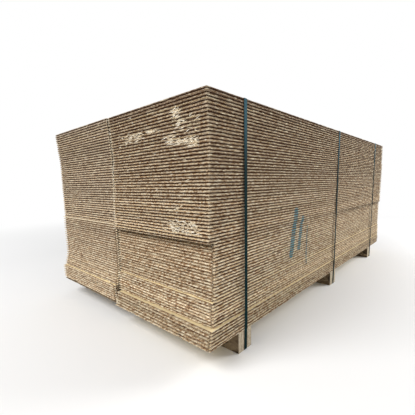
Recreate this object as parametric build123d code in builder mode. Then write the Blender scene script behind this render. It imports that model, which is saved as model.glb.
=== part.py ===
from build123d import *
from math import atan, cos, hypot, radians, sin, tan
from random import Random
import os

# A strapped pack of oriented strand board panels in two piles side by side, on three bearers.
# +X runs along the panels, away from the near end; +Y runs across them, from the right pile to the
# left pile as seen facing the near end; +Z is up. The floor is z = 0.

# One panel, tongued and grooved on all four edges
panel_length = 2500.0  # cover length, without the tongue
panel_width = 625.0  # cover width, without the tongue
panel_thickness = 12.0
tongue_reach = 8.0
tongue_thickness = 4.0
tongue_bevel = 1.0
groove_depth = 9.0
groove_height = 4.4
lip = (panel_thickness - groove_height) / 2
full_length = panel_length + tongue_reach
full_width = panel_width + tongue_reach

# The piles
panel_gap = 0.3  # air left between one panel and the next
panel_pitch = panel_thickness + panel_gap
pile_spacing = 636.0  # from the right pile's near side to the left pile's
stray_along = 1.2  # how far one panel lies from its neighbours, lengthwise
stray_across = 0.5  # and crosswise

# Groups of panels from the bottom up: name, number of panels, whether they are turned end for end
# so that the tongue faces the near end, where the lowest one's near end lies, how much further the
# highest one's lies, and where the near side lies at the near end and at the far end.
right_pile = [
    ("right_pile_bottom", 6, True, -41.0, 13.0, -12.0, -9.0),
    ("right_pile_lower", 8, True, -9.0, -2.0, -2.0, -2.0),
    ("right_pile_middle", 18, True, 2.0, 3.0, 0.0, 3.5),
    ("right_pile_upper", 29, False, -17.0, 14.0, -1.0, -9.0),
    ("right_pile_top", 14, False, -5.0, -11.0, -2.5, -6.0),
]
left_pile = [
    ("left_pile_foot", 1, True, -27.0, 0.0, 1.0, 2.0),
    ("left_pile_bottom", 7, True, -30.0, -5.0, 5.0, 5.0),
    ("left_pile_lower", 6, True, -23.0, 14.0, 1.5, 3.0),
    ("left_pile_middle", 20, True, -7.0, -3.0, 0.5, 3.5),
    ("left_pile_upper", 27, False, -6.0, -1.0, -1.5, -1.0),
    ("left_pile_top", 14, False, -9.0, -13.0, -3.0, 0.0),
]

# Bearers, one under each strap
bearer_width = 92.0
bearer_height = 91.0
bearer_start = -10.0  # across the pack, from the right pile's near side
bearer_end = 1271.0
bearer_bevel = 2.0
bearers = {"bearer_near": 190.0, "bearer_middle": 1228.0, "bearer_far": 2160.0}

# Straps
strap_width = 19.0
strap_thickness = 1.0
strap_clearance = 0.4
strap_slack = 0.1  # a corner that stands out less than this doesn't bend the strap
strap_relief_width = 22.0  # where the tight strap has bedded into the bearer's underside
strap_relief_depth = 2.2
weld_length = 60.0  # the two ends of a strap lie over each other here, on top of the pack
weld_place = 905.0
straps = {"strap_near": 192.0, "strap_middle": 1234.0, "strap_far": 2182.0}  # under the bearers
strap_leans = {"strap_near": 12.0, "strap_middle": 34.0, "strap_far": 16.0}  # how much further on top

os.makedirs("parts", exist_ok=True)
stray = Random(11)


def placed_panels(groups, side):
    # Gives each group's panels as (x, y, z, angle, turned), for the corner at the near end and side.
    level = bearer_height
    placed = {}
    for name, count, turned, end, lean, side_near, side_far in groups:
        panels = []
        for index in range(count):
            x = end + lean * index / max(count - 1, 1) + stray.uniform(-stray_along, stray_along)
            y = side + side_near + stray.uniform(-stray_across, stray_across)
            slope = side_far - side_near + stray.uniform(-stray_across, stray_across)
            angle = slope / panel_length  # radians, small
            panels.append((x, y, level, angle, turned))
            level += panel_pitch
        placed[name] = panels
    return placed


groups = placed_panels(right_pile, 0.0) | placed_panels(left_pile, pile_spacing)
all_panels = [panel for panels in groups.values() for panel in panels]
top = max(z for x, y, z, angle, turned in all_panels) + panel_thickness


def edge_points(panel, x):
    # Gives the corners of a panel's two long edges, as (y, z), where a strap at x goes round them.
    start_x, start_y, z, angle, turned = panel
    y = start_y + (x - start_x) * tan(angle)
    middle = z + panel_thickness / 2
    tip = tongue_thickness / 2 - tongue_bevel
    far_lip = y + panel_width / cos(angle)
    far_tip = y + full_width / cos(angle)
    return [
        (y, z),
        (y, z + panel_thickness),
        (far_lip, z),
        (far_lip, z + panel_thickness),
        (far_tip - tongue_bevel, middle - tongue_thickness / 2),
        (far_tip - tongue_bevel, middle + tongue_thickness / 2),
        (far_tip, middle - tip),
        (far_tip, middle + tip),
    ]


def stands_out(start, corner, end):
    # Gives how far a corner stands outside the straight run from start to end.
    run_y, run_z = end[0] - start[0], end[1] - start[1]
    away_y, away_z = corner[0] - start[0], corner[1] - start[1]
    return (run_z * away_y - run_y * away_z) / hypot(run_y, run_z)


def taut_line(points):
    # Gives the convex outline of the points, anticlockwise: the line of a strap drawn tight.
    ordered = sorted(set(points))
    outline = []
    for run in (ordered, ordered[::-1]):
        side = []
        for point in run:
            while len(side) > 1 and stands_out(side[-2], side[-1], point) <= 0:
                side.pop()
            side.append(point)
        outline += side[:-1]
    while True:
        neighbours = zip(outline[-1:] + outline[:-1], outline, outline[1:] + outline[:1])
        proud = [stands_out(before, point, after) for before, point, after in neighbours]
        if min(proud) > strap_slack:
            return outline
        outline.pop(proud.index(min(proud)))


def strap_line(name):
    # Gives a strap's inside line as (y, z), with x growing evenly from the bearer to the top.
    points = [(y, z) for y in (bearer_start, bearer_end) for z in (strap_relief_depth, bearer_height)]
    for panel in all_panels:
        points += edge_points(panel, straps[name] + strap_leans[name] * panel[2] / top)
    return taut_line(points)


# The origin is under the middle of the pack's outline, so the outline is worked out first.
ends = []
sides = []
for x, y, z, angle, turned in all_panels:
    ends += [x - full_width * tan(angle), x, x + full_length, x + full_length - full_width * tan(angle)]
    sides += [y, y + full_width, y + full_length * tan(angle), y + full_width + full_length * tan(angle)]
strap_lines = {name: strap_line(name) for name in straps}
strap_stand_off = strap_clearance + strap_thickness
for line in strap_lines.values():
    sides += [min(y for y, z in line) - strap_stand_off, max(y for y, z in line) + strap_stand_off]
middle_x = (min(ends) + max(ends)) / 2
middle_y = (min(sides) + max(sides)) / 2

# One panel, with its grooves towards the near end and side and its tongues away from them
corner = (Align.MIN, Align.MIN)
with BuildPart() as panel:
    with BuildSketch():
        Rectangle(panel_length, panel_width, align=corner)
    extrude(amount=lip)
    with BuildSketch(Plane.XY.offset(lip)):
        with Locations((groove_depth, groove_depth)):
            Rectangle(panel_length - groove_depth, panel_width - groove_depth, align=corner)
    extrude(amount=groove_height)
    with BuildSketch(Plane.XY.offset(lip + groove_height)):
        Rectangle(panel_length, panel_width, align=corner)
    extrude(amount=lip)
    with BuildSketch(Plane.XY.offset((panel_thickness - tongue_thickness) / 2)):
        with Locations((groove_depth, groove_depth)):
            Rectangle(full_length - groove_depth, full_width - groove_depth, align=corner)
    extrude(amount=tongue_thickness)
    end_tip = panel.faces().sort_by(Axis.X)[-1].edges().filter_by(Axis.Y)
    side_tip = panel.faces().sort_by(Axis.Y)[-1].edges().filter_by(Axis.X)
    chamfer(end_tip + side_tip, tongue_bevel)

# The panels of each group
for name, panels in groups.items():
    places = []
    for x, y, z, angle, turned in panels:
        place = Location((x - middle_x, y - middle_y, z), (0, 0, 1), angle / radians(1))
        if turned:
            place = place * Location((full_length, 0, panel_thickness), (0, 1, 0), 180)
        places.append(place)
    with BuildPart() as group:
        with Locations(*places):
            add(panel.part)
    group.part.label = name
    export_step(group.part, f"parts/{name}.step")

# Bearers, with the strap bedded into the underside
for name, x in bearers.items():
    strap_x = straps[name.replace("bearer", "strap")]
    with BuildPart() as bearer:
        with BuildSketch(Plane.XZ.offset(middle_y - bearer_end)):
            with Locations((x - middle_x, bearer_height / 2)):
                Rectangle(bearer_width, bearer_height)
        extrude(amount=bearer_end - bearer_start)
        chamfer(bearer.edges().filter_by(Axis.Y), bearer_bevel)
        with BuildSketch():
            with Locations((strap_x - middle_x, (bearer_start + bearer_end) / 2 - middle_y)):
                Rectangle(strap_relief_width, bearer_end - bearer_start)
        extrude(amount=strap_relief_depth, mode=Mode.SUBTRACT)
    bearer.part.label = name
    export_step(bearer.part, f"parts/{name}.step")

# Straps, drawn tight round panels and bearer, with the two ends welded over each other on top.
# Each lies in a plane that leans along the pack, in which a height grows by one over the cosine.
for name, x in straps.items():
    tilt = atan(strap_leans[name] / top)
    leaning = Plane(origin=(x - middle_x, 0, 0), x_dir=(0, 1, 0), z_dir=(cos(tilt), 0, -sin(tilt)))
    line = [(y - middle_y, z / cos(tilt)) for y, z in strap_lines[name]]
    with BuildPart() as strap:
        for grown, mode in ((strap_stand_off, Mode.ADD), (strap_clearance, Mode.SUBTRACT)):
            with BuildSketch(leaning) as outline:
                with BuildLine():
                    Polyline(*line, close=True)
                make_face()
                offset(amount=grown, kind=Kind.INTERSECTION)
                levels = outline.sketch_local.vertices().group_by(Axis.Y)
                fillet(levels[0] + levels[-1], grown)
            extrude(amount=strap_width / 2, both=True, mode=mode)
        weld_level = top / cos(tilt) + strap_stand_off + strap_thickness / 2
        with BuildSketch(leaning):
            with Locations((weld_place - middle_y, weld_level)):
                Rectangle(weld_length, strap_thickness)
        extrude(amount=strap_width / 2, both=True)
    strap.part.label = name
    export_step(strap.part, f"parts/{name}.step")
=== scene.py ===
from math import cos, hypot, pi, radians, sin
from random import Random

import bpy
from mathutils import Euler, Matrix, Vector


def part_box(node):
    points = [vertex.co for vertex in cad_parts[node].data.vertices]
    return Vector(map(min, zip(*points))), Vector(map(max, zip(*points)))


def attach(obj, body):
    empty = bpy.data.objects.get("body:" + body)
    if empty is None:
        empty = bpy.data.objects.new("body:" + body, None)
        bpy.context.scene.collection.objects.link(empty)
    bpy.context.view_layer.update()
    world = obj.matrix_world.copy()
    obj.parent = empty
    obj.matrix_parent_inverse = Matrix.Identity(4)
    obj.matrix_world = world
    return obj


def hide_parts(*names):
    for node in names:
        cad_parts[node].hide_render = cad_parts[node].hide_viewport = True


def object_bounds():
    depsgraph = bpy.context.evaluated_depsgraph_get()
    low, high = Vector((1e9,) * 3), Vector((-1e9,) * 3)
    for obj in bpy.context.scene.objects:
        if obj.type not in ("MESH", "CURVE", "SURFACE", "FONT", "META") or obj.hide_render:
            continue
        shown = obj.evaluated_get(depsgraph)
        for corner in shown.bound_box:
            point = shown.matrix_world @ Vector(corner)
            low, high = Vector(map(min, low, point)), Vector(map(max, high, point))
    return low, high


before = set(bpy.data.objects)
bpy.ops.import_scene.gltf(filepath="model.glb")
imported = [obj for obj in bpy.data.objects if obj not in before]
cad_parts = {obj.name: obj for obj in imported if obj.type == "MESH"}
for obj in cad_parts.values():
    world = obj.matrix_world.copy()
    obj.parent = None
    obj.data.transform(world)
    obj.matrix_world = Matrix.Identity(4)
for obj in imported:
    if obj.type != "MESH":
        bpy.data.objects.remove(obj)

# A strapped pack of tongue-and-groove strand board panels in two piles, on three bearers.
# Metres, in the frame's own axes: x along the panels, y across them, z up from the floor.

cadLow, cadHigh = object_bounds()
print("frame loaded", len(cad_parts), "nodes")


def fromScreen(red, green, blue):
    # A colour as seen on a screen, 0 to 255, as the linear colour that a shader takes
    def linear(value):
        share = value / 255
        return share / 12.92 if share < 0.04045 else ((share + 0.055) / 1.055) ** 2.4
    return (linear(red), linear(green), linear(blue), 1.0)


class Wire:
    # A shader socket that can be reckoned with: every operator adds a Math node

    def __init__(self, finish, socket):
        self.finish = finish
        self.socket = socket

    def out(self, name):
        return Wire(self.finish, self.socket.node.outputs[name])

    def math(self, operation, *values):
        return self.finish.node("Math", {"operation": operation}, dict(enumerate(values)))

    def __add__(self, other):
        return self.math("ADD", self, other)

    def __radd__(self, other):
        return self.math("ADD", other, self)

    def __sub__(self, other):
        return self.math("SUBTRACT", self, other)

    def __rsub__(self, other):
        return self.math("SUBTRACT", other, self)

    def __mul__(self, other):
        return self.math("MULTIPLY", self, other)

    def __rmul__(self, other):
        return self.math("MULTIPLY", other, self)

    def __truediv__(self, other):
        return self.math("DIVIDE", self, other)

    def __pow__(self, other):
        return self.math("POWER", self, other)

    def __gt__(self, other):
        return self.math("GREATER_THAN", self, other)

    def __lt__(self, other):
        return self.math("LESS_THAN", self, other)

    def sine(self):
        return self.math("SINE", self)

    def least(self, other):
        return self.math("MINIMUM", self, other)

    def most(self, other):
        return self.math("MAXIMUM", self, other)

    def ramp(self, start, end):
        # 0 at start, 1 at end, smooth between them and flat outside
        settings = {"interpolation_type": "SMOOTHSTEP"}
        return self.finish.node("MapRange", settings, {0: self, 1: start, 2: end, 3: 0.0, 4: 1.0})


class Finish:
    # A node tree under construction, for a material or the world

    def __init__(self, name, owner=None):
        self.owner = owner or bpy.data.materials.new(name)
        self.owner.use_nodes = True
        self.tree = self.owner.node_tree
        self.tree.nodes.clear()

    def node(self, kind, settings=None, inputs=None, output=0):
        node = self.tree.nodes.new("ShaderNode" + kind)
        for name, value in (settings or {}).items():
            if name == "stops":
                fillRamp(node.color_ramp, value)
            else:
                setattr(node, name, value)
        for place, value in (inputs or {}).items():
            if isinstance(value, Wire):
                self.tree.links.new(value.socket, node.inputs[place])
            else:
                node.inputs[place].default_value = value
        if not node.outputs:
            return node
        return Wire(self, node.outputs[output])

    def mix(self, factor, low, high, blend="MIX"):
        settings = {"data_type": "RGBA", "blend_type": blend}
        return self.node("Mix", settings, {0: factor, 6: low, 7: high}, output=2)

    def vector(self, operation, *values):
        return self.node("VectorMath", {"operation": operation}, dict(enumerate(values)))

    def noise(self, place, scale, detail=2.0, roughness=0.5):
        inputs = {"Vector": place, "Scale": scale, "Detail": detail, "Roughness": roughness}
        return self.node("TexNoise", None, inputs)

    def cells(self, place, feature="F1"):
        return self.node("TexVoronoi", {"feature": feature}, {"Vector": place, "Scale": 1.0})

    def attribute(self, name):
        return self.node("Attribute", {"attribute_name": name}, output="Fac")

    def apart(self, vector):
        parts = self.node("SeparateXYZ", None, {0: vector})
        return parts, parts.out("Y"), parts.out("Z")

    def together(self, x, y, z):
        return self.node("CombineXYZ", None, {0: x, 1: y, 2: z})

    def turned(self, place, angle, lengths):
        # The place seen along a direction in the horizontal plane, in units of the given lengths
        scale = tuple(1 / length for length in lengths)
        inputs = {"Vector": place, "Rotation": (0.0, 0.0, angle)}
        return self.vector("MULTIPLY", self.node("Mapping", {"vector_type": "TEXTURE"}, inputs), scale)

    def surface(self, **inputs):
        sockets = {name.replace("_", " "): value for name, value in inputs.items()}
        shader = self.node("BsdfPrincipled", None, sockets)
        self.node("OutputMaterial", None, {"Surface": shader})
        return self.owner


def fillRamp(ramp, stops):
    while len(ramp.elements) < len(stops):
        ramp.elements.new(1.0)
    for element, (place, colour) in zip(ramp.elements, stops):
        element.position = place
        element.color = colour


# Strand board
board = {
    "pale": fromScreen(240, 226, 198),
    "tan": fromScreen(196, 167, 128),
    "brown": fromScreen(126, 91, 65),
    "fresh": fromScreen(240, 228, 198),
    "bleached": fromScreen(248, 243, 230),
    "ledge": fromScreen(255, 235, 186),
    "greyed": fromScreen(150, 138, 118),
    "dustAndShade": fromScreen(190, 178, 160),
    # painted shade and dirt, for grooves and recesses
    "shadeAndDirt": fromScreen(88, 54, 34),
    # a dark colour for dents, for groups darkened all over and for painted shadow under overhangs
    "grime": fromScreen(92, 80, 66),
    "cover": [  # strands on the top of the pack, from dark to light
        (0.0, fromScreen(122, 88, 56)),
        (0.25, fromScreen(176, 139, 94)),
        (0.6, fromScreen(208, 176, 129)),
        (1.0, fromScreen(233, 212, 172)),
    ],
    # a bearer's side faces, darker as painted shade under the pack
    "bearerSideShadeDark": fromScreen(60, 50, 39),
    "bearerSideShade": fromScreen(94, 79, 61),
    "bearerSideShadePale": fromScreen(142, 125, 100),
    # a bearer's sawn ends
    "sawnEnd": fromScreen(166, 157, 138),
    "layer": 0.0009,  # thickness of one strand
    "strand": (0.085, 0.016, 0.004),  # length, width and depth of a strand on the face
    # Layers of strands on the face: their direction in radians, and the share of them that is left out
    "lays": [(0.0, 0.0), (0.42, 0.55), (-0.35, 0.6), (1.2, 0.78), (-0.9, 0.8)],
    "edgeStrand": (42.0, 64.0),  # strands on a metre of edge, along and across the pack
    "wave": (14.0, 14.0, 60.0),  # and noise scales, per metre
    "fleck": (60.0, 90.0, 240.0),
    "fleckRange": (0.36, 0.66),
    "spark": (28.0, 60.0, 300.0),
    "sparkRange": (0.56, 0.68),
    "grain": (180.0, 180.0, 2400.0),
    "cloud": 3.2,
    "topFrom": 0.98,  # faces higher than this are the pack's top
    "panelSpread": 0.4,  # how much the panels differ in tone
    "blotches": 0.2,
    "farShade": 0.2,  # how much darker the panels get away from the near end
    "paleStrandsAndHighlights": 0.5,  # how pale the bright flecks are, partly pale cut strands and partly painted highlights, and how much more so on the long sides, as painted highlights
    "sideHighlights": 0.45,
    "leftDust": 0.22,  # dust on the edges of the left pile
    "shadeAndDirtDepths": (0.0005, 0.007),  # where the painted shade and dirt start behind the outermost points, and where they are full
    "shadeAndDirtShare": 0.78,
    "sawnShare": 0.6,  # how much of the sawn ends' colour a bearer's strands take
    "shade": [  # darker towards the top, partly painted shade and partly weathering: height, and what is left of the colour there
        (0.10, (1.0, 1.0, 1.0, 1.0)),
        (0.29, (0.92, 0.92, 0.93, 1.0)),
        (0.51, (0.76, 0.735, 0.735, 1.0)),
        (0.79, (0.47, 0.44, 0.44, 1.0)),
        (1.0, (0.325, 0.295, 0.295, 1.0)),
    ],
}

# Three brushed tally strokes on the long side: ends as (x, z), half width, strength
paint = {
    "colour": fromScreen(16, 122, 142),
    "strokes": [
        ((-0.569, 0.541), (-0.613, 0.322), 0.021, 1.0),
        ((-0.490, 0.500), (-0.524, 0.345), 0.017, 0.95),
        ((-0.420, 0.443), (-0.428, 0.236), 0.008, 0.8),
    ],
    "knocks": [  # small dark dents there, in the same terms
        ((-0.862, 0.461), (-0.838, 0.465), 0.004, 0.95),
        ((-0.742, 0.572), (-0.727, 0.574), 0.004, 0.9),
    ],
}


def strandPattern(finish, place):
    # Overlapping strands on the face of a board: tone and height of the strand on top
    tone = None
    height = None
    for angle, lift in board["lays"]:
        shifted = finish.vector("ADD", place, (lift * 3.1, lift * 5.7, 0.0))
        cell = finish.cells(finish.turned(shifted, angle, board["strand"]))
        drawn, second, third = finish.apart(cell.out("Color"))
        slope = cell * 0.25
        if tone is None:
            tone, height = drawn, second - slope
            continue
        covers = third > lift
        tone = tone + (drawn - tone) * covers
        height = height + (second + 0.5 - slope - height) * covers
    return tone, height


def strokeMask(finish, along, up, strokes):
    # Where a brush went over the edges: strokes are (start, end, half width, strength), places (along, up)
    wander = finish.noise(finish.together(along * 40.0, 0.0, up * 40.0), 1.0, 2.0)
    mask = None
    for (startAlong, startUp), (endAlong, endUp), width, strength in strokes:
        runAlong = endAlong - startAlong
        runUp = endUp - startUp
        length = hypot(runAlong, runUp)
        share = ((along - startAlong) * runAlong + (up - startUp) * runUp) / length ** 2
        share = share.most(0.0).least(1.0)
        offAlong = along - startAlong - share * runAlong
        offUp = up - startUp - share * runUp
        away = (offAlong * offAlong + offUp * offUp) ** 0.5
        edge = (width * (0.55 + wander * 0.9) - away).ramp(-0.0012, 0.0012) * strength
        mask = edge if mask is None else mask.most(edge)
    return mask


def boardFinish(name, standing=False):
    finish = Finish(name)
    place = finish.node("TexCoord", None, None, "Object")
    x, y, z = finish.apart(place)
    height = z
    if standing:  # a board on its edge: its thickness runs along x
        place = finish.together(y, z, x)
        x, y, z = finish.apart(place)
    tone = finish.attribute("tone")
    depth = finish.attribute("depth")
    fresh = finish.attribute("fresh")
    face = finish.attribute("face")
    facing = finish.apart(finish.node("NewGeometry", None, None, "True Normal"))
    if standing:
        face = (facing[0] * facing[0]) > 0.5
    sideways = (facing[1] * facing[1]) > 0.5
    grime = finish.attribute("grime")

    # Edge: thin wavy strata of cut strands, with pale and dark flecks
    wave = finish.noise(finish.vector("MULTIPLY", place, board["wave"]), 1.0, 2.0)
    strata = z / board["layer"] + wave * 5.0
    along, across = board["edgeStrand"]
    strand = finish.cells(finish.together(x * along + tone * 37.0, y * across, strata))
    drawn = finish.apart(strand.out("Color"))[0]
    fleck = finish.noise(finish.vector("MULTIPLY", place, board["fleck"]), 1.0, 2.0, 0.6)
    fleck = fleck.ramp(*board["fleckRange"])
    spark = finish.noise(finish.vector("MULTIPLY", place, board["spark"]), 1.0, 2.0, 0.6)
    spark = spark.ramp(*board["sparkRange"])
    cloud = finish.noise(place, board["cloud"], 3.0)
    grain = finish.noise(finish.vector("MULTIPLY", place, board["grain"]), 1.0, 2.0)
    edgeShare = drawn * 0.34 + fleck * 0.74 + grain * 0.24 - 0.16
    edgeStops = [(0.08, board["brown"]), (0.42, board["tan"]), (0.8, board["pale"])]
    edge = finish.node("ValToRGB", {"stops": edgeStops}, {0: edgeShare})

    # Face: strands lying over each other
    topTone, topHeight = strandPattern(finish, place)
    faceShare = topTone * 0.8 + grain * 0.2
    faceStops = [(0.0, board["tan"]), (0.3, board["ledge"]), (0.75, board["fresh"])]
    if standing:
        # A bearer's side faces: strand colours darkened as painted shade
        faceStops = [(0.1, board["bearerSideShadeDark"]), (0.45, board["bearerSideShade"]), (0.9, board["bearerSideShadePale"])]
    flat = finish.node("ValToRGB", {"stops": faceStops}, {0: faceShare})
    if not standing:
        cover = finish.node("ValToRGB", {"stops": board["cover"]}, {0: faceShare})
        weathered = finish.mix(0.12 + cloud * 0.3, cover, board["greyed"])
        clean = finish.mix((1 - fleck) * 0.1, finish.mix(0.85, flat, board["ledge"]), board["tan"])
        flat = finish.mix(height.ramp(board["topFrom"], board["topFrom"] + 0.02), clean, weathered)

    # Darker towards the top, partly painted shade and partly weathering, painted shade and dirt in the
    # grooves, darker blotches, and dust
    shade = finish.node("ValToRGB", {"stops": board["shade"]}, {0: height})
    panelShade = 0.73 + tone * board["panelSpread"] + cloud * board["blotches"]
    panelShade = panelShade * (1 - x.ramp(-0.1, 1.2) * board["farShade"])
    edge = finish.mix(1.0, edge, shade, "MULTIPLY")
    edge = finish.mix(1.0, edge, finish.together(panelShade, panelShade, panelShade), "MULTIPLY")
    # Pale flecks, partly cut strands and partly painted highlights, more of them on the long sides as
    # painted highlights
    paleStrandsAndHighlights = board["paleStrandsAndHighlights"] + sideways * board["sideHighlights"]
    edge = finish.mix(spark * paleStrandsAndHighlights, edge, board["fresh"])
    edge = finish.mix((y > 0.0) * board["leftDust"], edge, board["dustAndShade"])
    edge = finish.mix(fresh, edge, board["fresh"])
    if not standing:
        onSide = (depth < 0.004) * (y < -0.5)
        edge = finish.mix(strokeMask(finish, x, z, paint["knocks"]) * onSide, edge, board["grime"])
        painted = strokeMask(finish, x, z, paint["strokes"]) * onSide * (0.85 + fleck * 0.15)
        edge = finish.mix(painted, edge, paint["colour"])
    # Painted shade and dirt: darker the deeper a place lies behind the outermost points
    edge = finish.mix(depth.ramp(*board["shadeAndDirtDepths"]) * board["shadeAndDirtShare"], edge, board["shadeAndDirt"])
    if standing:
        edge = finish.mix(board["sawnShare"], edge, board["sawnEnd"])
    colour = finish.mix(face, edge, flat)
    # Painted shadow under overhangs, and groups darkened all over
    colour = finish.mix(grime, colour, board["grime"], "MULTIPLY")

    roughness = 0.82 + drawn * 0.1 - face * 0.08
    relief = (drawn * 0.5 + grain * 0.5) * (1 - face) + topHeight * face
    normal = finish.node("Bump", None, {"Strength": 0.5, "Distance": 0.0006, "Height": relief})
    return finish.surface(Base_Color=colour, Roughness=roughness, Normal=normal, Specular_IOR_Level=0.12)


panelFinish = boardFinish("panelBoard")
print("board finish made")


# Panels
cut = {
    "length": 2.5,
    "width": 0.625,
    "thickness": 0.012,
    "pitch": 0.0123,
    "lip": 0.0038,
    "grooveDepth": 0.009,
    "tongueReach": 0.008,
    "tongueThickness": 0.004,
    "tongueBevel": 0.001,
    "arris": 0.0004,  # the broken edge between a lip and the face
    "lipShadow": 0.0042,  # how deep the lips by a tongue are taken to lie, for the painted shade and dirt
    "mouthShadow": 0.0021,  # and the edge of a groove's mouth
    "seamLight": 0.15,  # painted light: pale wood along the seam between the piles, lightening its shadowed gap, fading over seamReach
    "seamReach": 0.014,
    "step": 0.026,  # between two places on an edge that shows
    "hiddenStep": 0.16,
    "rough": 0.0009,  # how far a cut edge wanders
    "mouthRough": 0.0014,  # and the edge of a groove's mouth
    "tipRough": 0.0006,  # and the tip of a tongue
    "chips": 6.0,  # chipped places on a metre of groove edge
    "tongueChips": 9.0,
    "chipHalf": (0.004, 0.03),  # half the length of a chip
    "lipChip": (0.0005, 0.004),  # how deep it goes at least, and how much deeper at most
    "mouthChip": (0.0004, 0.002),
    "tipChip": 0.006,
    "frayChips": 60.0,  # the same where the edges are frayed
    "frayHalf": (0.003, 0.012),
    "frayLip": 0.006,
    "frayMouth": 0.003,
    "bruise": 0.0025,  # how far a corner is knocked in at most
    "freshCorner": 0.2,  # how pale the wood is there, and, as painted light in the shadowed hole by the corner, where a groove or a tongue ends
    "grooveEndLight": 0.12,
    "tongueRootLight": 0.15,
    "cornerGap": 0.003,  # an edge has no other place so near to its ends
    "sideShadow": 0.6,  # how much painted shadow an overhung panel's side gets at most
    "sideShadowFrom": 1.0,  # and where along the panel that starts
    "slack": 0.0001,  # for finding a panel's points in the frame
}
tongueFloor = (cut["thickness"] - cut["tongueThickness"]) / 2
colocated = 1e-6  # points nearer to each other than this are one
faceSteps = (0, 9)  # points of a section that lie on the panel's faces
mouthSteps = (2, 7)  # and on the edge of a groove's mouth


def panelPlaces(node):
    # Where each panel of a group lies: its near right corner, its direction and whether it is turned
    low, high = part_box(node)
    corners = [vertex.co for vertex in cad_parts[node].data.vertices]
    places = []
    for index in range(round((high.z - low.z - cut["thickness"]) / cut["pitch"]) + 1):
        level = low.z + index * cut["pitch"]
        over = level + cut["thickness"]
        own = [point for point in corners if level - cut["slack"] < point.z < over + cut["slack"]]
        lips = [point for point in own if abs(point.z - level) < cut["slack"]]
        start = min(lips, key=lambda point: point.x + point.y)
        end = max(lips, key=lambda point: point.x - point.y)
        turned = min(point.x for point in own) < min(point.x for point in lips) - cut["tongueReach"] / 2
        places.append((Vector((start.x, start.y, level)), (end - start).normalized(), turned))
    return places


def section(kind, low=0.0, high=0.0, lowMouth=0.0, highMouth=0.0, tip=0.0):
    # Ten points round an edge from the underside to the top, as (outwards, up); chips only take away
    thick = cut["thickness"]
    arris = cut["arris"]
    lip = cut["lip"]
    if kind == "groove":
        floor = -cut["grooveDepth"]
        middle = [(-low, lip - lowMouth), (floor, lip), (floor, lip),
                  (floor, thick - lip), (floor, thick - lip), (-high, thick - lip + highMouth)]
    elif kind == "root":
        middle = [(0.0, tongueFloor), (0.0, lip), (0.0, lip),
                  (0.0, thick - lip), (0.0, thick - lip), (0.0, thick - tongueFloor)]
    else:
        reach = cut["tongueReach"] - tip
        bevel = cut["tongueBevel"]
        middle = [(-low, tongueFloor), (reach - bevel, tongueFloor), (reach, tongueFloor + bevel),
                  (reach, thick - tongueFloor - bevel), (reach - bevel, thick - tongueFloor),
                  (-high, thick - tongueFloor)]
    return [(-low - arris, 0.0), (-low, arris)] + middle + [(-high, thick - arris), (-high - arris, thick)]


def chipsAlong(draw, span, kind, damage):
    # Chipped places on one edge: middle, half length, depths into the lower lip, the upper lip, the mouth
    # and the tongue, and how fresh the wood is
    rate = cut["tongueChips"] if kind == "tongue" else cut["chips"]
    chips = []
    for number in range(int(span * rate + draw.random())):
        deep = draw.random() ** 2
        upper = draw.random() < 0.5
        lip = cut["lipChip"][0] + cut["lipChip"][1] * deep
        mouth = cut["mouthChip"][0] + cut["mouthChip"][1] * draw.random()
        tip = draw.random() ** 2 * cut["tipChip"]
        middle = draw.uniform(0, span)
        half = draw.uniform(*cut["chipHalf"])
        lips = [0.0, lip] if upper else [lip, 0.0]
        chips.append([middle, half, *lips, mouth, tip, draw.random() * 0.5])
    for middle, reach, strength in damage:
        for number in range(round(reach * 2 * cut["frayChips"] * strength)):
            chips.append([middle + draw.uniform(-reach, reach), draw.uniform(*cut["frayHalf"]),
                          draw.random() * cut["frayLip"], draw.random() * cut["frayLip"],
                          draw.random() * cut["frayMouth"], draw.random() * cut["tipChip"],
                          0.3 + draw.random() * 0.7])
    return chips


def edgeStations(draw, start, span, kind, hidden, damage, bySeam):
    # Places along an edge with the section there and how fresh the wood is
    chips = [] if hidden else chipsAlong(draw, span, kind, damage)
    count = max(2, round(span / cut["hiddenStep" if hidden else "step"]))
    places = [(index + draw.uniform(-0.3, 0.3)) * span / count for index in range(1, count)]
    if bySeam:
        places += [cut["seamReach"], span - cut["seamReach"]]
    for middle, half, *rest in chips:
        heart = middle + half * draw.uniform(-0.3, 0.3)
        places += [middle - half, middle - half * 0.6, heart, middle + half * 0.7, middle + half]
    stations = []
    for place in sorted(place for place in places if cut["cornerGap"] < place < span - cut["cornerGap"]):
        low = draw.random() * cut["rough"]
        high = draw.random() * cut["rough"]
        lowMouth = draw.random() * cut["mouthRough"]
        highMouth = draw.random() * cut["mouthRough"]
        tip = draw.random() * cut["tipRough"]
        fresh = 0.0
        for middle, half, lowChip, highChip, mouth, tipChip, freshness in chips:
            share = 1 - (abs(place - middle) / half) ** 3
            if share > 0:
                low = max(low, lowChip * share)
                high = max(high, highChip * share)
                if lowChip > 0:
                    lowMouth = max(lowMouth, mouth * share)
                if highChip > 0:
                    highMouth = max(highMouth, mouth * share)
                tip = max(tip, tipChip * share)
                fresh = max(fresh, freshness * share)
        if kind == "tongue":
            lowMouth = highMouth = 0.0
        stations.append((start + place, section(kind, low, high, lowMouth, highMouth, tip), fresh))
    return stations


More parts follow.
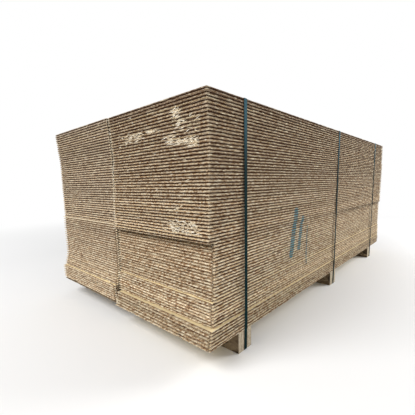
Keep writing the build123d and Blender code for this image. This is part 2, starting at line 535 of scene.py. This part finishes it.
def panelOutline(draw, turned, hiddenEdge, damage):
    # All places round a panel, anticlockwise from the near left corner: the place and the way outwards,
    # both as (along, across), the section there and how fresh the wood is
    long = cut["length"]
    wide = cut["width"]
    corners = [Vector((0, wide)), Vector((0, 0)), Vector((long, 0)), Vector((long, wide))]
    outs = [Vector((-1, 0)), Vector((0, -1)), Vector((1, 0)), Vector((0, 1))]
    kinds = ["tongue" if turned else "groove", "groove", "groove" if turned else "tongue", "tongue"]
    outline = []
    for edge in range(4):
        kind = kinds[edge]
        corner = corners[edge]
        after = corners[(edge + 1) % 4]
        along = (after - corner).normalized()
        span = (after - corner).length
        first = cut["grooveDepth"] if kind == "tongue" and kinds[edge - 1] == "groove" else 0.0
        last = cut["grooveDepth"] if kind == "tongue" and kinds[(edge + 1) % 4] == "groove" else 0.0
        bruise = draw.random() ** 2 * cut["bruise"]
        # Where a groove or a tongue ends by a corner, its paler wood is painted light in the shadowed hole
        # there
        if kinds[edge - 1] == kind:
            shape = section(kind, bruise, bruise * draw.random())
            outline.append((corner, outs[edge - 1] + outs[edge], shape, cut["freshCorner"]))
        elif kind == "groove":
            outline.append((corner, outs[edge], section("groove"), cut["grooveEndLight"]))
        else:
            outline.append((corner + along * first, outs[edge], section("root"), cut["tongueRootLight"]))
            outline.append((corner + along * first, outs[edge], section("tongue"), 0.0))
        run = span - first - last
        hurt = damage if edge == 0 else []
        bySeam = edge in (0, hiddenEdge)
        for place, shape, fresh in edgeStations(draw, first, run, kind, edge == hiddenEdge, hurt, bySeam):
            outline.append((corner + along * place, outs[edge], shape, fresh))
        if kinds[(edge + 1) % 4] != kind:
            if kind == "groove":
                outline.append((after, outs[edge], section("groove"), cut["grooveEndLight"]))
            else:
                outline.append((after - along * last, outs[edge], section("tongue"), 0.0))
                outline.append((after - along * last, outs[edge], section("root"), cut["tongueRootLight"]))
    # Painted light: paler wood by the seam corner, to lighten the shadowed gap between the piles
    seam = corners[0] if hiddenEdge == 3 else corners[1]
    paled = []
    for spot, out, shape, fresh in outline:
        pale = cut["seamLight"] * max(0.0, 1 - (spot - seam).length / cut["seamReach"])
        paled.append((spot, out, shape, max(fresh, pale)))
    return paled


class Surface:
    # Points, faces and painted values of a mesh under construction

    def __init__(self):
        self.points = []
        self.faces = []
        self.values = {"tone": [], "depth": [], "fresh": [], "face": [], "grime": []}

    def point(self, place, **values):
        self.points.append(tuple(place))
        for name, numbers in self.values.items():
            numbers.append(values.get(name, 0.0))
        return len(self.points) - 1

    def tube(self, rings, closed=False, **values):
        # Joins rings of points, all of one count, into a skin with flat ends, or into a closed loop
        made = [[self.point(spot, **values) for spot in ring] for ring in rings]
        count = len(rings[0])
        following = made[1:] + made[:1] if closed else made[1:]
        for ring, after in zip(made, following):
            for index in range(count):
                beside = (index + 1) % count
                self.faces.append([ring[index], after[index], after[beside], ring[beside]])
        if not closed:
            self.faces.append(made[0])
            self.faces.append(made[-1][::-1])

    def piece(self, name, material, replaced=()):
        mesh = bpy.data.meshes.new(name)
        mesh.from_pydata(self.points, [], self.faces)
        for value, numbers in self.values.items():
            mesh.attributes.new(value, "FLOAT", "POINT").data.foreach_set("value", numbers)
        mesh.materials.append(material)
        mesh.validate()
        made = bpy.data.objects.new(name, mesh)
        bpy.context.scene.collection.objects.link(made)
        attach(made, "root")
        if replaced:
            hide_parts(*replaced)
        return made


def addPanel(surface, place, outline, tone, grime, shaded, bright):
    # shaded is painted shadow under an overhang on the near end, which also lies further along the side,
    # and bright is a painted highlight of pale fresh wood on the near end
    start, direction = place[:2]
    across = Vector((-direction.y, direction.x, 0))
    known = {}
    rows = []
    for (u, v), (outU, outV), shape, fresh in outline:
        row = []
        grooved = min(out for out, up in shape) <= -cut["grooveDepth"]
        behind = 0.0 if grooved else cut["lipShadow"]
        # Painted shadow under an overhang: all over the near end, and further along the side
        reached = 0.0
        if outU < 0:
            reached = 1.0
            fresh = max(fresh, bright)
        elif outV < 0:
            reached = min(cut["sideShadow"], max(0.0, u - cut["sideShadowFrom"]))
        dustAndShade = max(grime, shaded * reached)
        for step, (out, up) in enumerate(shape):
            # Painted shade: the lips by a tongue and the edge of a groove's mouth count as lying deeper
            mouth = cut["mouthShadow"] if step in mouthSteps and not behind else 0.0
            spot = start + direction * (u + outU * out) + across * (v + outV * out)
            spot.z = start.z + up
            key = tuple(round(value / colocated) for value in spot)
            if key not in known:
                face = 1.0 if step in faceSteps else 0.0
                depth = behind + mouth - out
                known[key] = surface.point(spot, tone=tone, depth=depth, fresh=fresh, face=face, grime=dustAndShade)
            row.append(known[key])
        rows.append(row)
    for row, after in zip(rows, rows[1:] + rows[:1]):
        for step in range(len(row) - 1):
            corners = list(dict.fromkeys((row[step], after[step], after[step + 1], row[step + 1])))
            if len(corners) > 2:
                surface.faces.append(corners)
    surface.faces.append(list(dict.fromkeys(row[-1] for row in rows)))
    surface.faces.append(list(dict.fromkeys(row[0] for row in reversed(rows))))


# Places on the near end where knocks have frayed the edges: distance from the right pile's side, height
# above the floor, half width, half height, how chipped and how splintered
frayed = [
    (0.135, 0.528, 0.075, 0.022, 1.0, 1.7),
    (0.168, 0.600, 0.020, 0.010, 0.6, 0.2),
    (0.140, 0.848, 0.075, 0.016, 1.0, 1.1),
    (0.085, 0.838, 0.025, 0.012, 1.0, 0.6),
    (0.200, 0.870, 0.030, 0.008, 0.6, 0.2),
    (0.440, 0.893, 0.062, 0.019, 1.0, 1.0),
    (0.300, 0.902, 0.030, 0.007, 0.8, 0.4),
    (0.160, 0.962, 0.014, 0.010, 0.8, 0.3),
    (0.120, 0.905, 0.070, 0.030, 0.8, 0.3),
    (0.152, 0.930, 0.012, 0.024, 0.8, 0.3),
]
darkenedGroups = {"left_pile_foot": 0.75, "right_pile_bottom": 0.3}  # darker all over a group
overhangShadow = {"right_pile_middle": [0.25, 0.75]}  # painted shadow under the overhang, on a group's highest panels
brightTop = {"left_pile_middle": 0.5}  # painted highlight: pale fresh wood on its highest panel's near end
panelGroups = [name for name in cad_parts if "pile" in name]
nearEnds = []
for name in panelGroups:
    surface = Surface()
    draw = Random("panels of " + name)
    right = name.startswith("right")
    places = panelPlaces(name)
    shadowed = overhangShadow.get(name, [])
    shades = [0.0] * (len(places) - len(shadowed)) + shadowed
    brights = [0.0] * (len(places) - 1) + [brightTop.get(name, 0.0)]
    for place, shaded, bright in zip(places, shades, brights):
        nearEnds.append((right, place))
        damage = []
        for across, height, reach, tall, chipped, splintered in frayed:
            if right and abs(place[0].z - height) < tall:
                damage.append((cut["width"] - across, reach, chipped))
        outline = panelOutline(draw, place[2], 3 if right else 1, damage)
        addPanel(surface, place, outline, draw.random(), darkenedGroups.get(name, 0.0), shaded, bright)
    made = surface.piece(name + "_boards", panelFinish, [name])
    print(name, len(places), "panels,", len(made.data.vertices), "points")


# Splinters that stand off the near end, with more of them where it is frayed
splinter = {
    "count": 260,
    "frayCount": 80,  # in a frayed place, times how splintered it is
    "length": (0.007, 0.026),
    "strayLength": 0.6,  # how long they are outside the frayed places, as a share
    "width": (0.001, 0.0028),
    "thickness": 0.0004,
    "lift": (0.0005, 0.004),  # how far the tip stands off the end face
    "bend": 0.3,  # sideways, as a share of the length
    "rooted": 0.0015,  # how deep one starts in the wood
    "endGap": 0.001,  # how far it stays inside the solids' box
    "topGap": 0.003,
    "sideGaps": (0.01, 0.02),  # how far it starts from a panel's right and left side
    "fraySideGaps": (0.012, 0.03),
    "levelGap": 0.0008,  # and from its top and underside
    "cornerInset": 0.001,
    "streaks": (700.0, 260.0, 900.0),  # noise scales of its wood, per metre
    "seamCount": 5,  # on each panel's corner at the seam between the piles
    "seamLength": (0.005, 0.011),
    "cornerCount": 1,  # on the end of each tongue by the near corner
    "cornerLength": (0.004, 0.009),
    "slope": 0.15,  # how far they lean from level, in radians
    "fraySlope": 0.22,
    "seamSlope": 0.35,
    "cornerSlope": 0.3,
}


def splinterFinish():
    finish = Finish("splinterWood")
    place = finish.node("TexCoord", None, None, "Object")
    streak = finish.noise(finish.vector("MULTIPLY", place, splinter["streaks"]), 1.0, 2.0)
    tone = finish.attribute("tone")
    share = streak * 0.5 + tone * 0.5
    stops = [(0.2, board["tan"]), (0.45, board["pale"]), (0.8, board["bleached"])]
    colour = finish.node("ValToRGB", {"stops": stops}, {0: share})
    normal = finish.node("Bump", None, {"Strength": 0.4, "Distance": 0.0003, "Height": streak})
    roughness = 0.7 + streak * 0.2
    return finish.surface(Base_Color=colour, Roughness=roughness, Normal=normal, Specular_IOR_Level=0.15)


def addSplinter(surface, draw, root, angle, length):
    # A thin curling sliver that starts in the end face and lies along it, lifting towards its tip
    along = Vector((0.0, cos(angle), sin(angle)))
    across = Vector((0.0, -sin(angle), cos(angle)))
    width = draw.uniform(*splinter["width"])
    lift = draw.uniform(*splinter["lift"])
    bend = draw.uniform(-splinter["bend"], splinter["bend"])
    rings = []
    for share in (0.0, 0.35, 0.7, 1.0):
        middle = root + along * length * share + across * bend * length * share ** 2
        deep = splinter["rooted"] * (1 - share)
        raised = lift * share ** 1.5
        middle.x = max(middle.x + deep - raised, cadLow.x + splinter["endGap"])
        middle.z = min(middle.z, cadHigh.z - splinter["topGap"])
        half = width / 2 * (1 - 0.75 * share ** 2)
        thick = splinter["thickness"]
        rings.append([middle - across * half, middle + across * half,
                      middle + across * half * 0.7 - Vector((thick, 0, 0)),
                      middle - across * half * 0.7 - Vector((thick, 0, 0))])
    surface.tube(rings, tone=draw.random())


def endFace(place, across, height):
    # The point on the near end of a panel, so far across it and above its underside
    start, direction = place[:2]
    spot = start + Vector((-direction.y, direction.x, 0)) * across
    return spot + Vector((0, 0, height))


def makeSplinters():
    draw = Random("splinters")
    surface = Surface()
    width = cut["width"]
    thick = cut["thickness"]
    rightGap, leftGap = splinter["sideGaps"]
    rightFrayGap, leftFrayGap = splinter["fraySideGaps"]
    for number in range(splinter["count"]):
        right, place = draw.choice(nearEnds)
        spot = draw.uniform(rightGap, width - leftGap)
        root = endFace(place, spot, draw.uniform(splinter["levelGap"], thick - splinter["levelGap"]))
        angle = draw.choice((0.0, pi)) + draw.gauss(0, splinter["slope"])
        addSplinter(surface, draw, root, angle, draw.uniform(*splinter["length"]) * splinter["strayLength"])
    for across, height, reach, tall, chipped, splintered in frayed:
        near = [place for right, place in nearEnds if right and abs(place[0].z - height) < tall]
        for number in range(round(splinter["frayCount"] * splintered)):
            place = draw.choice(near)
            spot = max(rightFrayGap, min(width - leftFrayGap, across + draw.uniform(-reach, reach)))
            root = endFace(place, spot, draw.uniform(0.0, thick))
            angle = draw.gauss(0, splinter["fraySlope"]) + draw.choice((0.0, pi))
            addSplinter(surface, draw, root, angle, draw.uniform(*splinter["length"]))
    for right, place in nearEnds:
        # Fibres that bridge the seam, and ones that stand from the tongue's end by the near corner
        for number in range(splinter["seamCount"]):
            lower = draw.uniform(cut["arris"], cut["lip"])
            upper = thick - draw.uniform(cut["arris"], cut["lip"])
            height = draw.choice((lower, upper))
            inset = splinter["cornerInset"]
            root = endFace(place, width - inset if right else inset, height)
            angle = draw.gauss(0.0 if right else pi, splinter["seamSlope"])
            addSplinter(surface, draw, root, angle, draw.uniform(*splinter["seamLength"]))
        if not right or not place[2]:
            continue
        for number in range(splinter["cornerCount"]):
            height = draw.uniform(tongueFloor, thick - tongueFloor)
            root = endFace(place, cut["grooveDepth"] + splinter["cornerInset"], height)
            root -= place[1] * cut["tongueReach"] * draw.uniform(0.2, 0.8)
            angle = draw.gauss(pi, splinter["cornerSlope"])
            addSplinter(surface, draw, root, angle, draw.uniform(*splinter["cornerLength"]))
    surface.piece("frayed_strands", splinterFinish())


makeSplinters()
print("splinters made")


# Bearers: strips of board on edge, glued side by side
bearer = {
    "strips": 8,
    "glueLine": 0.00015,
    "step": 0.03,
    "rough": 0.0004,
    "endRough": 0.0012,
    "arris": 0.0008,
    "inset": 0.01,  # how far in from the edges the strap's relief is looked for
}
bearerFinish = boardFinish("bearerBoard", True)


def stripSection(left, right, top, relief):
    # Outline of one strip, anticlockwise; the strap's relief steps up its underside
    reliefLeft, reliefRight, reliefTop = relief
    steps = [left] + [edge for edge in (reliefLeft, reliefRight) if left < edge < right] + [right]
    outline = []
    for start, end in zip(steps, steps[1:]):
        bottom = reliefTop if reliefLeft < (start + end) / 2 < reliefRight else 0.0
        outline += [(start, bottom), (end, bottom)]
    arris = bearer["arris"]
    upper = [(right, top - arris), (right - arris, top), (left + arris, top), (left, top - arris)]
    return outline + upper


def makeBearer(name):
    low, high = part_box(name)
    draw = Random("bearer " + name)
    corners = [vertex.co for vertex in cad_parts[name].data.vertices]
    inset = bearer["inset"]
    inner = [spot for spot in corners if low.x + inset < spot.x < high.x - inset and spot.z < inset]
    relief = (min(spot.x for spot in inner), max(spot.x for spot in inner), max(spot.z for spot in inner))
    surface = Surface()
    thick = (high.x - low.x) / bearer["strips"]
    count = round((high.y - low.y) / bearer["step"])
    for index in range(bearer["strips"]):
        left = low.x + index * thick + (bearer["glueLine"] if index else 0.0)
        last = index == bearer["strips"] - 1
        right = low.x + (index + 1) * thick - (0.0 if last else bearer["glueLine"])
        outline = stripSection(left, right, high.z, relief)
        near = low.y + draw.random() * bearer["endRough"]
        far = high.y - draw.random() * bearer["endRough"]
        middle = (left + right) / 2
        rings = []
        for step in range(count + 1):
            y = near + (far - near) * step / count
            wear = [draw.random() * bearer["rough"] for corner in outline]
            rings.append([Vector((x + (middle - x) * loss / thick * 2, y, z - loss * (z > inset)))
                          for (x, z), loss in zip(outline, wear)])
        surface.tube(rings, tone=draw.random())
    surface.piece(name + "_strips", bearerFinish, [name])


for name in ("bearer_near", "bearer_middle", "bearer_far"):
    makeBearer(name)
print("bearers made")


# Straps: a flat plastic band with bevelled edges along the taut line, and its welded ends
strap = {
    "colour": fromScreen(1, 32, 34),
    "scuffed": fromScreen(30, 84, 90),
    "topHighlight": fromScreen(58, 96, 108),
    "scuffShare": 0.35,
    "highlightHeights": (0.72, 1.02),  # from here up the strap gets a painted highlight, and from there on most
    "highlightShare": 0.8,
    "rib": 0.0012,  # from one rib of the woven relief to the next
    "edge": 0.0003,  # width of the bevel
    "step": 0.02,
    "weldRidges": 12,
    "ridge": 0.0003,
    "weldEnd": 0.0004,  # how much lower the welded end's two edges lie
    "weldInset": 0.0003,
    "slack": 0.0001,  # for finding the levels in the frame
}


def strapFinish():
    finish = Finish("greenStrap")
    place = finish.node("TexCoord", None, None, "Object")
    x, y, z = finish.apart(place)
    along = (y + z) * (pi / strap["rib"])
    across = x * (pi / strap["rib"])
    waffle = (along + across).sine() * (along - across).sine()
    scuff = finish.noise(place, 60.0, 3.0)
    colour = finish.mix(scuff.ramp(0.55, 0.85) * strap["scuffShare"], strap["colour"], strap["scuffed"])
    # Painted highlight: lighter towards the top, where the strap bends over the pack
    colour = finish.mix(z.ramp(*strap["highlightHeights"]) * strap["highlightShare"], colour, strap["topHighlight"])
    normal = finish.node("Bump", None, {"Strength": 0.35, "Distance": 0.0002, "Height": waffle})
    roughness = 0.5 + scuff * 0.2
    return finish.surface(Base_Color=colour, Roughness=roughness, Normal=normal, Specular_IOR_Level=0.04)


greenStrap = strapFinish()


def turnsLeft(a, b, c):
    return (b[0] - a[0]) * (c[1] - a[1]) - (b[1] - a[1]) * (c[0] - a[0]) > 1e-12


def convexOutline(points):
    ordered = sorted(set(points))
    outline = []
    for run in (ordered, ordered[::-1]):
        side = []
        for point in run:
            while len(side) > 1 and not turnsLeft(side[-2], side[-1], point):
                side.pop()
            side.append(point)
        outline += side[:-1]
    return outline


def bandRings(path, closed, left, right, thick):
    # Flat sections with bevelled edges along a path of (y, z), with the outer face on the path
    rings = []
    edge = strap["edge"]
    count = len(path)
    for index, (y, z) in enumerate(path):
        before = path[index - 1] if closed or index else path[index]
        after = path[(index + 1) % count] if closed or index < count - 1 else path[index]
        run = Vector((0, after[0] - before[0], after[1] - before[1])).normalized()
        inward = Vector((0, -run.z, run.y))
        middle = Vector((0, y, z))
        ring = []
        for x, deep in ((left + edge, 0), (right - edge, 0), (right, edge), (right, thick - edge),
                        (right - edge, thick), (left + edge, thick), (left, thick - edge), (left, edge)):
            ring.append(Vector((x, 0, 0)) + middle + inward * deep)
        rings.append(ring)
    return rings


def makeStrap(name):
    # The strap lies in a plane that leans along the pack: y runs across, level up the lean
    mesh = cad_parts[name].data
    flank = max((face for face in mesh.polygons if face.normal.x < -0.9), key=lambda face: face.area)
    along = -flank.normal
    rise = along.cross(Vector((0, 1, 0)))
    spots = [(along.dot(vertex.co), round(vertex.co.y, 5), round(rise.dot(vertex.co), 5))
             for vertex in mesh.vertices]
    left = min(spot[0] for spot in spots)
    right = max(spot[0] for spot in spots)
    side = [spot[1:] for spot in spots if spot[0] < left + strap["slack"] * 5]
    high = max(level for y, level in side)
    weld = [y for y, level in side if level > high - strap["slack"]]
    top = max(level for y, level in side if level < high - strap["slack"])
    thick = high - top
    outline = convexOutline([spot for spot in side if spot[1] <= top])
    path = []
    for start, end in zip(outline, outline[1:] + outline[:1]):
        run = (end[0] - start[0], end[1] - start[1])
        count = max(1, round(hypot(*run) / strap["step"]))
        for step in range(count):
            path.append((start[0] + run[0] * step / count, start[1] + run[1] * step / count))
    # The upper end lies over the lower one, pressed in ridges by the welding jaws
    first = min(weld)
    last = max(weld)
    count = strap["weldRidges"] * 2
    lap = []
    for step in range(count, -1, -1):
        ridge = strap["ridge"] * (step % 2)
        ends = strap["weldEnd"] * (step in (0, count))
        lap.append((first + (last - first) * step / count, high - ridge - ends))
    inset = strap["weldInset"]
    band = bandRings(path, True, left, right, thick)
    upper = bandRings(lap, False, left + inset, right - inset, thick)
    surface = Surface()
    for rings, closed in ((band, True), (upper, False)):
        leaned = [[along * spot.x + Vector((0, spot.y, 0)) + rise * spot.z for spot in ring]
                  for ring in rings]
        surface.tube(leaned, closed)
    surface.piece(name + "_band", greenStrap, [name])


for name in ("strap_near", "strap_middle", "strap_far"):
    makeStrap(name)
print("straps made")


# Floor, light and camera
studio = {
    "floor": (0.86, 0.86, 0.86, 1.0),
    "white": (1.0, 1.0, 1.0, 1.0),
    "floorRadius": 30.0,
    "fadeStart": 1.9,
    "fadeEnd": 5.0,
    "sky": 0.5,
    "key": (-5.0, 1.0, 4.6),
    "keyPower": 294.0,
    "keySize": 3.5,
    "fill": (3.6, -3.2, 2.6),
    "fillPower": 194.0,
    "fillSize": 2.5,
    "aim": (0.0, 0.0, 0.5),
}


def seenRays(finish):
    # 1 for what the camera sees, directly, mirrored or through glass, and 0 for light on the pack
    rays = finish.node("LightPath")
    return rays.most(rays.out("Is Glossy Ray")).most(rays.out("Is Transmission Ray"))


def floorFinish():
    # Pale near the pack, where its shadow falls, and white further out
    finish = Finish("paleFloor")
    x, y, z = finish.apart(finish.node("TexCoord", None, None, "Object"))
    away = (x * x + y * y) ** 0.5
    matt = finish.node("BsdfDiffuse", None, {"Color": studio["floor"]})
    white = finish.node("Emission", None, {"Color": studio["white"], "Strength": 1.0})
    share = away.ramp(studio["fadeStart"], studio["fadeEnd"]) * seenRays(finish)
    shader = finish.node("MixShader", None, {0: share, 1: matt, 2: white})
    finish.node("OutputMaterial", None, {"Surface": shader})
    return finish.owner


def makeWorld():
    world = bpy.data.worlds.new("studio")
    bpy.context.scene.world = world
    finish = Finish("studio", world)
    sky = finish.node("Background", None, {"Color": studio["white"], "Strength": studio["sky"]})
    white = finish.node("Background", None, {"Color": studio["white"], "Strength": 1.0})
    shader = finish.node("MixShader", None, {0: seenRays(finish), 1: sky, 2: white})
    finish.node("OutputWorld", None, {"Surface": shader})


def softLamp(name, place, power, size):
    lamp = bpy.data.lights.new(name, "AREA")
    lamp.shape = "DISK"
    lamp.energy = power
    lamp.size = size
    holder = bpy.data.objects.new(name, lamp)
    holder.location = place
    holder.rotation_euler = (Vector(studio["aim"]) - Vector(place)).to_track_quat("-Z", "Y").to_euler()
    bpy.context.scene.collection.objects.link(holder)


bpy.ops.mesh.primitive_circle_add(
    vertices=96, radius=studio["floorRadius"], fill_type="NGON", location=(0, 0, 0))
floor = bpy.context.object
floor.name = "floor"
floor.data.materials.append(floorFinish())
makeWorld()
softLamp("key", studio["key"], studio["keyPower"], studio["keySize"])
softLamp("fill", studio["fill"], studio["fillPower"], studio["fillSize"])

view = {
    "place": (-1.9827, -1.2885, 0.6972),
    "heading": radians(46.85),  # from +y towards +x
    "pitch": radians(-7.69),
    "roll": radians(-1.216),
    "sensor": 36.0,
    "lens": 24.883,
    "shift": (0.0122, 0.0353),
}
camera = bpy.data.objects.new("camera", bpy.data.cameras.new("camera"))
camera.data.sensor_width = view["sensor"]
camera.data.lens = view["lens"]
camera.data.shift_x, camera.data.shift_y = view["shift"]
aim = Euler((pi / 2 + view["pitch"], 0.0, -view["heading"])).to_matrix()
aim = aim @ Matrix.Rotation(view["roll"], 3, "Z")
camera.matrix_world = Matrix.Translation(view["place"]) @ aim.to_4x4()
bpy.context.scene.collection.objects.link(camera)
bpy.context.scene.camera = camera
bpy.context.scene.view_settings.view_transform = "Standard"

print("pack dressed")
